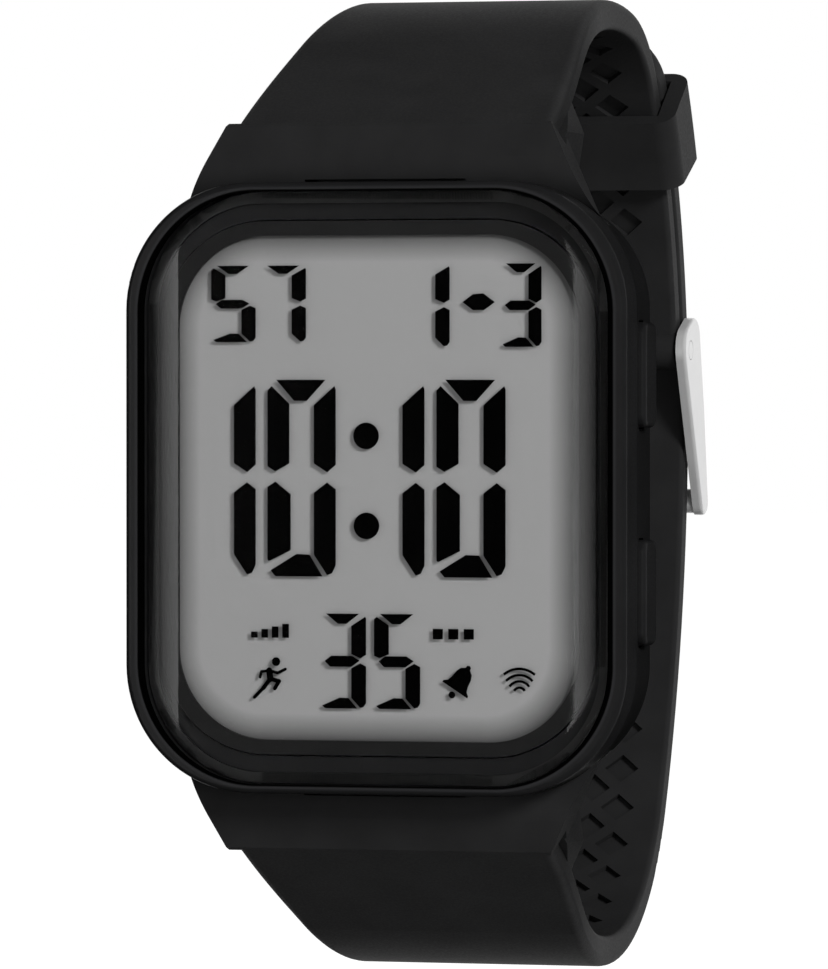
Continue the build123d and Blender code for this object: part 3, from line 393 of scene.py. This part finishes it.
materials = {
    "case_plastic": case_material(),
    "crystal": glass_material(),
    "gasket": finish_material("gasket_rubber", (0.01, 0.01, 0.01), 0.6),
    "mask": finish_material(
        "mask_print", (0.0105, 0.0105, 0.0105), 0.55, specular=0.1, grain_depth=0
    ),
    "lcd": display_material(),
    "spacer": finish_material("spacer_white", (0.6, 0.6, 0.58), 0.5),
    "elastomer": finish_material(
        "connector_rubber", (0.45, 0.12, 0.14), 0.55, stretch=(8, 1, 1)
    ),
    "light_guide": finish_material("guide_frosted", (0.75, 0.77, 0.75), 0.4),
    "led": finish_material("led_body", (0.8, 0.76, 0.55), 0.35),
    "board": finish_material("board_mask", (0.02, 0.12, 0.045), 0.35, coat=0.3),
    "potting": finish_material("chip_epoxy", (0.01, 0.01, 0.011), 0.3),
    "bright_metal": finish_material(
        "plated_metal", (0.72, 0.72, 0.7), 0.22, metallic=1, grain=5000
    ),
    "capacitor": finish_material("capacitor_ceramic", (0.42, 0.27, 0.15), 0.45),
    "holder": finish_material("holder_plastic", (0.02, 0.02, 0.022), 0.45),
    "contact_brass": finish_material(
        "contact_gilt", (0.78, 0.57, 0.26), 0.28, metallic=1, stretch=(1, 1, 12)
    ),
    "back_steel": finish_material(
        "back_brushed",
        (0.62, 0.62, 0.61),
        0.3,
        metallic=1,
        grain=1500,
        stretch=(1, 1, 14),
        grain_depth=0.003 * mm,
    ),
    "screw_steel": finish_material(
        "screw_steel_turned", (0.55, 0.55, 0.54), 0.26, metallic=1
    ),
    "ceramic": finish_material("piezo_ceramic", (0.72, 0.68, 0.58), 0.6),
    "pusher": finish_material("pusher_resin", black, 0.38, specular=0.3),
    "strap": finish_material(
        "strap_silicone",
        (0.014, 0.014, 0.0143),
        0.6,
        specular=0.08,
        grain=5200,
        grain_depth=0.006 * mm,
    ),
    "buckle": finish_material(
        "buckle_brushed",
        (0.57, 0.57, 0.57),
        0.3,
        metallic=0.45,
        tint=0.03,
        rough_spread=0.02,
        grain_depth=0,
    ),
}
for row in frame["record"]["subparts"]:
    piece = nodes[row["node"]]
    piece.data.materials.clear()
    piece.data.materials.append(materials[row["material_slot"]])

# Crystal: flat over the display, then a bevel that falls ever faster to the rim
flat_outline = rounded_outline(flat_half, flat_corner)
edge_outline = rounded_outline(crystal_half, crystal_corner)
count = len(flat_outline)
fall = crystal_top - crystal_edge_height
first_fall = bevel_start_slope * (crystal_half[0] - flat_half[0])
vertices = []
for step in range(bevel_steps + 1):
    share = step / bevel_steps
    drop = first_fall * share + (fall - first_fall) * share**2
    for inner, outer in zip(flat_outline, edge_outline):
        x = inner[0] + (outer[0] - inner[0]) * share
        z = inner[1] + (outer[1] - inner[1]) * share
        vertices.append((x, -(crystal_top - drop), z))
for x, z in edge_outline:
    vertices.append((x, -crystal_floor, z))
faces = [tuple(range(count))]
for ring in range(bevel_steps + 1):
    for index in range(count):
        after = (index + 1) % count
        low = ring * count
        high = low + count
        faces.append((low + after, low + index, high + index, high + after))
faces.append(tuple(reversed([len(vertices) - count + index for index in range(count)])))
crystal = new_object("crystal_bevelled", vertices, faces)
for edge in crystal.data.edges:
    rings = {vertex // count for vertex in edge.vertices}
    edge.use_edge_sharp = rings in ({0}, {bevel_steps}, {bevel_steps + 1})
crystal.data.materials.append(materials["crystal"])
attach(crystal, "case")
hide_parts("crystal")

# Springs of the pushers: each is a copy of its part's mesh, carried with the case
for side in ("upper", "lower"):
    node = f"{side}_pusher_spring"
    spring = bpy.data.objects.new(f"{side}_pusher_coil", nodes[node].data.copy())
    bpy.context.scene.collection.objects.link(spring)
    spring.matrix_world = nodes[node].matrix_world
    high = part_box(node)[1]
    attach(spring, "case")
    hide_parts(node)
    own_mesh(spring)

# Marks of the display, each a thin plate just over the grey reflector, with its places and
# sizes in millimetres. A segment's outline is in shares of its digit's width and height.
segment_shares = {
    "top": ((0.13, 1.0), (0.85, 1.0), (0.575, 0.893), (0.39, 0.893)),
    "upper_left": (
        (0.0, 0.945), (0.06, 0.968), (0.32, 0.879), (0.32, 0.575), (0.115, 0.534), (0.0, 0.56),
    ),
    "upper_right": (
        (0.98, 0.968), (1.0, 0.95), (1.0, 0.568), (0.875, 0.53), (0.68, 0.575), (0.68, 0.871),
    ),
    "middle": ((0.1, 0.5), (0.24, 0.555), (0.7, 0.555), (0.86, 0.505), (0.68, 0.44), (0.22, 0.44)),
    "lower_left": (
        (0.0, 0.455), (0.117, 0.482), (0.34, 0.418), (0.34, 0.133), (0.02, 0.077), (0.0, 0.085),
    ),
    "lower_right": (
        (0.872, 0.478), (1.0, 0.444), (1.0, 0.058), (0.945, 0.017), (0.872, 0.008), (0.68, 0.111),
        (0.68, 0.425),
    ),
    "bottom": ((0.117, 0.0), (0.808, 0.0), (0.617, 0.111), (0.425, 0.114), (0.045, 0.03)),
}
digit_segments = {
    "0": ("top", "upper_left", "upper_right", "lower_left", "lower_right", "bottom"),
    "1": ("upper_right", "lower_right"),
    "3": ("top", "upper_right", "middle", "lower_right", "bottom"),
    "5": ("top", "upper_left", "middle", "lower_right", "bottom"),
    "7": ("top", "upper_right", "lower_right"),
}


def digit(character, left, low, width, height):
    """The plates of a seven-segment digit, in millimetres on the dial."""
    plates = []
    for segment in digit_segments[character]:
        shares = segment_shares[segment]
        plates.append([(left + u * width, low + v * height) for u, v in shares])
    return plates


def box_plate(left, low, width, height):
    """An upright rectangular plate."""
    right = left + width
    top = low + height
    return [(left, low), (right, low), (right, top), (left, top)]


def on_circle(x, z, radius, angle):
    """A point of a circle."""
    return (x + radius * math.cos(angle), z + radius * math.sin(angle))


def disc(x, z, radius, count=28):
    """A round plate."""
    return [on_circle(x, z, radius, 2 * math.pi * step / count) for step in range(count)]


def bar(start, end, width, count=6):
    """A plate along a line, with round ends."""
    heading = math.atan2(end[1] - start[1], end[0] - start[0])
    points = []
    for centre, turn in ((end, -90), (start, 90)):
        for step in range(count + 1):
            angle = heading + (turn + 180 * step / count) * degree
            points.append(on_circle(*centre, width / 2, angle))
    return points


def arc(x, z, radius, width, low, high, count=14):
    """A curved stroke about a centre, between two angles in degrees."""
    angles = [(low + (high - low) * step / count) * degree for step in range(count + 1)]
    outer = [on_circle(x, z, radius + width / 2, angle) for angle in angles]
    inner = [on_circle(x, z, radius - width / 2, angle) for angle in reversed(angles)]
    return outer + inner


def place_plates(name, plates, material):
    """Thin plates on the display, each a closed solid."""
    vertices = []
    faces = []
    for number, plate in enumerate(plates):
        area = sum(a[0] * b[1] - b[0] * a[1] for a, b in zip(plate, plate[1:] + plate[:1]))
        if area < 0:
            plate = plate[::-1]
        first = len(vertices)
        size = len(plate)
        lift = mark_floor + number % mark_layers * mark_layer_step
        for height in (lift + mark_thickness, lift):
            vertices += [(x * mm + mark_shift, -height, z * mm) for x, z in plate]
        faces.append([first + index for index in range(size)])
        faces.append([first + size + index for index in reversed(range(size))])
        for index in range(size):
            after = (index + 1) % size
            faces.append(
                [first + after, first + index, first + size + index, first + size + after]
            )
    piece = new_object(name, vertices, faces, smooth=False)
    piece.data.materials.append(material)
    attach(piece, "case")
    return piece


ink = finish_material("segment_ink", ink_colour, 0.6, specular=0.0, grain_depth=0)
time_low = -6.66
time_width = 5.35
time_height = 14.8
time_places = (("1", -14.8), ("0", -8.52), ("1", -1.6), ("0", 4.68))
colon_places = ((-0.8, 3.93), (-0.77, -2.83))
colon_radius = 1.0
time_plates = []
for character, left in time_places:
    time_plates += digit(character, left, time_low, time_width, time_height)
time_plates += [disc(x, z, colon_radius) for x, z in colon_places]
place_plates("display_time", time_plates, ink)

second_low = -16.57
second_width = 3.6
second_height = 7.13
second_places = (("3", -4.4), ("5", -0.18))
second_plates = []
for character, left in second_places:
    second_plates += digit(character, left, second_low, second_width, second_height)
place_plates("display_seconds", second_plates, ink)

week_low = 10.98
week_width = 3.5
week_height = 5.76
week_places = (("5", -12.95), ("7", -9.0))
date_low = 10.6
date_height = 6.23
date_places = (("1", 2.2, 3.5), ("3", 9.65, 3.15))
date_dash = [(6.7, 13.95), (7.5, 14.55), (8.3, 14.6), (9.2, 13.95), (8.35, 13.35), (7.5, 13.35)]
date_plates = []
for character, left in week_places:
    date_plates += digit(character, left, week_low, week_width, week_height)
for character, left, width in date_places:
    date_plates += digit(character, left, date_low, width, date_height)
date_plates.append(date_dash)
place_plates("display_date", date_plates, ink)

# Small marks: a level gauge and three squares in place of words, a runner, a bell, waves
small_low = -11.3
gauge_bars = 4
gauge_left = -9.82
gauge_pitch = 0.82
gauge_width = 0.52
gauge_height = 0.45
gauge_rise = 0.2
square_count = 3
square_left = 4.4
square_pitch = 1.2
square_side = 0.78
small_plates = []
for step in range(gauge_bars):
    left = gauge_left + step * gauge_pitch
    height = gauge_height + step * gauge_rise
    small_plates.append(box_plate(left, small_low, gauge_width, height))
for step in range(square_count):
    left = square_left + step * square_pitch
    small_plates.append(box_plate(left, small_low, square_side, square_side))

runner_head = (-7.85, -13.1)
runner_head_radius = 0.33
shoulder = (-8.38, -13.78)
hip = (-8.3, -14.4)
back_elbow = (-9.0, -13.86)
front_elbow = (-7.72, -13.95)
back_knee = (-8.85, -15.1)
front_knee = (-7.62, -14.58)
runner_strokes = (
    (shoulder, hip, 0.5),
    (shoulder, back_elbow, 0.22),
    (back_elbow, (-9.1, -14.28), 0.22),
    (shoulder, front_elbow, 0.24),
    (front_elbow, (-7.12, -13.66), 0.22),
    (hip, back_knee, 0.34),
    (back_knee, (-9.55, -15.8), 0.26),
    (hip, front_knee, 0.34),
    (front_knee, (-7.95, -15.12), 0.3),
)
small_plates.append(disc(*runner_head, runner_head_radius))
small_plates += [bar(start, end, width) for start, end, width in runner_strokes]

bell_foot = (6.1, -15.08)
bell_turn = -33 * degree
bell_half_outline = (
    (1.16, 0.0), (1.12, 0.16), (0.86, 0.36), (0.74, 0.72), (0.66, 1.3), (0.5, 1.66), (0.2, 1.86),
    (0.17, 2.06), (0.0, 2.14),
)
bell_outline = list(bell_half_outline) + [(-x, z) for x, z in reversed(bell_half_outline[:-1])]
clapper_shift = (-0.22, -0.38)
clapper_radius = 0.26
small_plates.append(
    [
        (
            bell_foot[0] + x * math.cos(bell_turn) - z * math.sin(bell_turn),
            bell_foot[1] + x * math.sin(bell_turn) + z * math.cos(bell_turn),
        )
        for x, z in bell_outline
    ]
)
clapper = (bell_foot[0] + clapper_shift[0], bell_foot[1] + clapper_shift[1])
small_plates.append(disc(*clapper, clapper_radius))

wave_centre = (11.1, -15.32)
wave_width = 0.2
wave_heading = 90
for radius, half_turn in ((0.46, 62), (0.93, 55), (1.4, 47), (1.87, 40)):
    first = wave_heading - half_turn
    last = wave_heading + half_turn
    small_plates.append(arc(*wave_centre, radius, wave_width, first, last))
place_plates("display_marks", small_plates, ink)

# Camera
heading = Vector(
    (
        math.sin(view_turn) * math.cos(view_rise),
        -math.cos(view_turn) * math.cos(view_rise),
        math.sin(view_rise),
    )
)
camera_data = bpy.data.cameras.new("camera")
camera = bpy.data.objects.new("camera", camera_data)
bpy.context.scene.collection.objects.link(camera)
camera.location = view_target + heading * view_distance
camera.rotation_euler = heading.to_track_quat("Z", "Y").to_euler()
camera_data.lens = view_lens
camera_data.sensor_width = view_sensor
camera_data.clip_start = view_near
camera_data.shift_x = view_shift_x
camera_data.shift_y = view_shift_y
bpy.context.scene.camera = camera

# World: white where it is seen or mirrored, and a plain level on the object
world = bpy.data.worlds.new("studio")
bpy.context.scene.world = world
world.use_nodes = True
world.cycles.sampling_method = "NONE"
tree = world.node_tree
tree.nodes.clear()
output = node_of(tree, "ShaderNodeOutputWorld")
plain = node_of(tree, "ShaderNodeBackground")
plain.inputs["Color"].default_value = (1, 1, 1, 1)
plain.inputs["Strength"].default_value = plain_level
white = node_of(tree, "ShaderNodeBackground")
white.inputs["Color"].default_value = (1, 1, 1, 1)
white.inputs["Strength"].default_value = white_level
mix = node_of(tree, "ShaderNodeMixShader")
tree.links.new(seen_or_mirrored(tree), mix.inputs["Fac"])
tree.links.new(plain.outputs["Background"], mix.inputs[1])
tree.links.new(white.outputs["Background"], mix.inputs[2])
tree.links.new(mix.outputs["Shader"], output.inputs["Surface"])


def direction_of(azimuth, elevation):
    """A unit vector towards a place in the studio, with azimuth 0 in front of the dial."""
    return Vector(
        (
            math.sin(azimuth * degree) * math.cos(elevation * degree),
            -math.cos(azimuth * degree) * math.cos(elevation * degree),
            math.sin(elevation * degree),
        )
    )


def glow_material(name, strength, across, upward):
    """The face of a card, which glows from its left to its right edge and from low to high."""
    material = bpy.data.materials.new(name)
    material.use_nodes = True
    tree = material.node_tree
    tree.nodes.clear()
    output = node_of(tree, "ShaderNodeOutputMaterial")
    emission = node_of(tree, "ShaderNodeEmission")
    tree.links.new(emission.outputs["Emission"], output.inputs["Surface"])
    place = node_of(tree, "ShaderNodeTexCoord")
    parts = node_of(tree, "ShaderNodeSeparateXYZ")
    tree.links.new(place.outputs["Generated"], parts.inputs["Vector"])
    glow = strength
    for axis, (first, last) in (("X", across), ("Y", upward)):
        share = math_node(tree, "MULTIPLY", parts.outputs[axis], last - first)
        glow = math_node(tree, "MULTIPLY", math_node(tree, "ADD", share, first), glow)
    tree.links.new(glow, emission.inputs["Strength"])
    return material


def card(name, centre, facing, width, height, material):
    """A flat card that only reflections show."""
    corners = [(-0.5, -0.5), (0.5, -0.5), (0.5, 0.5), (-0.5, 0.5)]
    points = [(x * width, y * height, 0) for x, y in corners]
    piece = new_object(name, points, [(0, 1, 2, 3)], smooth=False)
    piece.location = centre
    piece.rotation_euler = facing.to_track_quat("Z", "Y").to_euler()
    piece.data.materials.append(material)
    piece.visible_camera = False
    piece.visible_diffuse = False
    piece.visible_shadow = False
    piece.visible_transmission = False


def ring_card(name, azimuth, elevation, distance, width, height, material):
    """A card square to the line from the watch to a place in the studio."""
    direction = direction_of(azimuth, elevation)
    card(name, direction * distance, direction, width, height, material)


flag_black, tree, shader = start_material("flag_black")
shader.inputs["Base Color"].default_value = (0, 0, 0, 1)
shader.inputs["Specular IOR Level"].default_value = 0.0
for name, azimuth, elevation, width, height in (
    ("flag_front", -15.7, 0, 4.8, 3.6),
    ("flag_left", -100, 0, 2.6, 3.6),
    ("flag_right", 85, 0, 2.6, 3.6),
    ("flag_above", 0, 90, 3.6, 3.6),
    ("flag_below", 0, -90, 3.6, 3.6),
):
    ring_card(name, azimuth, elevation, flag_distance, width, height, flag_black)
for name, azimuth, elevation, width, height, strength, across, upward in (
    ("softbox_left", -33.5, -6, 0.53, 0.62, 6.0, (0.1, 1), (0.3, 1)),
    ("softbox_right", 11.3, 9, 0.27, 0.78, 3.4, (1, 0), (1, 0.2)),
):
    glow = glow_material(f"{name}_glow", strength, across, upward)
    ring_card(name, azimuth, elevation, softbox_distance, width, height, glow)
card(
    "flag_side",
    Vector((side_flag_left + side_flag_size[0] / 2, side_flag_y, 0)),
    Vector((0, 1, 0)),
    *side_flag_size,
    flag_black,
)

lamp_data = bpy.data.lights.new("key", "AREA")
lamp_data.shape = "DISK"
lamp_data.size = key_size
lamp_data.energy = key_power
lamp = bpy.data.objects.new("key", lamp_data)
bpy.context.scene.collection.objects.link(lamp)
lamp.location = key_direction * key_distance
lamp.rotation_euler = key_direction.to_track_quat("Z", "Y").to_euler()
lamp.visible_glossy = False

# Floor: white where it is seen, with the watch's soft shadow left on it
floor = new_object(
    "floor",
    [
        (-floor_half, -floor_half, floor_level),
        (floor_half, -floor_half, floor_level),
        (floor_half, floor_half, floor_level),
        (-floor_half, floor_half, floor_level),
    ],
    [(0, 1, 2, 3)],
    smooth=False,
)
floor_material, tree, shader = start_material("floor_white")
shader.inputs["Roughness"].default_value = floor_rough
shader.inputs["Specular IOR Level"].default_value = 0.0
output = next(node for node in tree.nodes if node.type == "OUTPUT_MATERIAL")
seen = seen_or_mirrored(tree)
grey = between(tree, seen, floor_grey, floor_seen_grey)
tree.links.new(grey, shader.inputs["Base Color"])
glow = node_of(tree, "ShaderNodeEmission")
tree.links.new(math_node(tree, "MULTIPLY", seen, floor_glow), glow.inputs["Strength"])
both = node_of(tree, "ShaderNodeAddShader")
tree.links.new(shader.outputs["BSDF"], both.inputs[0])
tree.links.new(glow.outputs["Emission"], both.inputs[1])
tree.links.new(both.outputs["Shader"], output.inputs["Surface"])
floor.data.materials.append(floor_material)
floor.visible_glossy = False

bpy.context.scene.view_settings.view_transform = "Standard"
